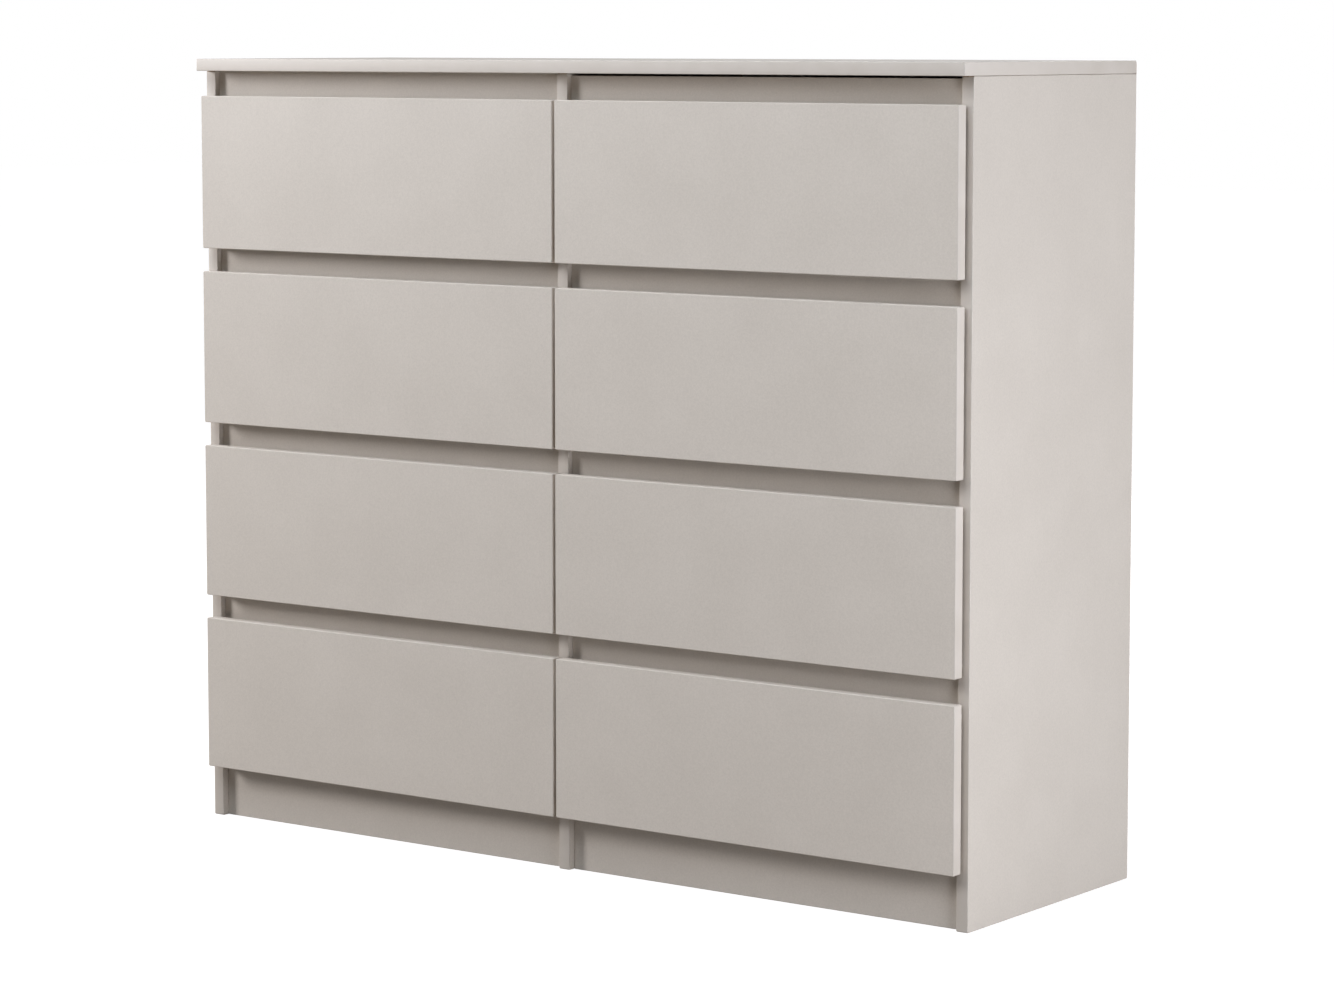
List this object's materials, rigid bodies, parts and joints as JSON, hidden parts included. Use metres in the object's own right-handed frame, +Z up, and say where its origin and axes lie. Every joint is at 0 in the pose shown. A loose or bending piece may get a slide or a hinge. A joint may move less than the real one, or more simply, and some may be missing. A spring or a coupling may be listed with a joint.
{
  "type": "chest of drawers",
  "caption": "Free-standing handleless dresser: two columns of drawers with flat overlay fronts, finger gaps and a recessed plinth.",
  "frame": {"origin": "on the floor under the middle of the case", "axes": "+X to the right as seen from the front, +Y to the back, +Z up; the drawers open towards -Y"},
  "size_m": [1.2, 0.4, 1.02],
  "materials": {
    "melamine_board": "matt laminated chipboard with matching edge banding",
    "front_board": "matt laminated chipboard with matching edge banding",
    "drawer_board": "foil-wrapped folded chipboard",
    "hardboard": "white-lacquered hardboard",
    "runner_steel": "powder-coated sheet steel"
  },
  "bodies": {
    "case": {"top_panel": "melamine_board", "centre_partition": "melamine_board", "side_panel_left": "melamine_board", "back_panel_left": "hardboard", "plinth_left": "melamine_board", "bottom_panel_left": "melamine_board", "rail_left_1": "melamine_board", "runner_left_1_outer": "runner_steel", "runner_left_1_inner": "runner_steel", "rail_left_2": "melamine_board", "runner_left_2_outer": "runner_steel", "runner_left_2_inner": "runner_steel", "rail_left_3": "melamine_board", "runner_left_3_outer": "runner_steel", "runner_left_3_inner": "runner_steel", "rail_left_4": "melamine_board", "runner_left_4_outer": "runner_steel", "runner_left_4_inner": "runner_steel", "side_panel_right": "melamine_board", "back_panel_right": "hardboard", "plinth_right": "melamine_board", "bottom_panel_right": "melamine_board", "rail_right_1": "melamine_board", "runner_right_1_outer": "runner_steel", "runner_right_1_inner": "runner_steel", "rail_right_2": "melamine_board", "runner_right_2_outer": "runner_steel", "runner_right_2_inner": "runner_steel", "rail_right_3": "melamine_board", "runner_right_3_outer": "runner_steel", "runner_right_3_inner": "runner_steel", "rail_right_4": "melamine_board", "runner_right_4_outer": "runner_steel", "runner_right_4_inner": "runner_steel"},
    "drawer_left_1": {"front_left_1": "front_board", "drawer_box_left_1": "drawer_board", "drawer_bottom_left_1": "hardboard"},
    "drawer_left_2": {"front_left_2": "front_board", "drawer_box_left_2": "drawer_board", "drawer_bottom_left_2": "hardboard"},
    "drawer_left_3": {"front_left_3": "front_board", "drawer_box_left_3": "drawer_board", "drawer_bottom_left_3": "hardboard"},
    "drawer_left_4": {"front_left_4": "front_board", "drawer_box_left_4": "drawer_board", "drawer_bottom_left_4": "hardboard"},
    "drawer_right_1": {"front_right_1": "front_board", "drawer_box_right_1": "drawer_board", "drawer_bottom_right_1": "hardboard"},
    "drawer_right_2": {"front_right_2": "front_board", "drawer_box_right_2": "drawer_board", "drawer_bottom_right_2": "hardboard"},
    "drawer_right_3": {"front_right_3": "front_board", "drawer_box_right_3": "drawer_board", "drawer_bottom_right_3": "hardboard"},
    "drawer_right_4": {"front_right_4": "front_board", "drawer_box_right_4": "drawer_board", "drawer_bottom_right_4": "hardboard"}
  },
  "joints": [
    {"name": "slide_left_1", "type": "slide", "parent": "case", "child": "drawer_left_1", "axis": [0, -1, 0], "range_m": [0, 0.26]},
    {"name": "slide_left_2", "type": "slide", "parent": "case", "child": "drawer_left_2", "axis": [0, -1, 0], "range_m": [0, 0.26]},
    {"name": "slide_left_3", "type": "slide", "parent": "case", "child": "drawer_left_3", "axis": [0, -1, 0], "range_m": [0, 0.26]},
    {"name": "slide_left_4", "type": "slide", "parent": "case", "child": "drawer_left_4", "axis": [0, -1, 0], "range_m": [0, 0.26]},
    {"name": "slide_right_1", "type": "slide", "parent": "case", "child": "drawer_right_1", "axis": [0, -1, 0], "range_m": [0, 0.26]},
    {"name": "slide_right_2", "type": "slide", "parent": "case", "child": "drawer_right_2", "axis": [0, -1, 0], "range_m": [0, 0.26]},
    {"name": "slide_right_3", "type": "slide", "parent": "case", "child": "drawer_right_3", "axis": [0, -1, 0], "range_m": [0, 0.26]},
    {"name": "slide_right_4", "type": "slide", "parent": "case", "child": "drawer_right_4", "axis": [0, -1, 0], "range_m": [0, 0.26]}
  ]
}
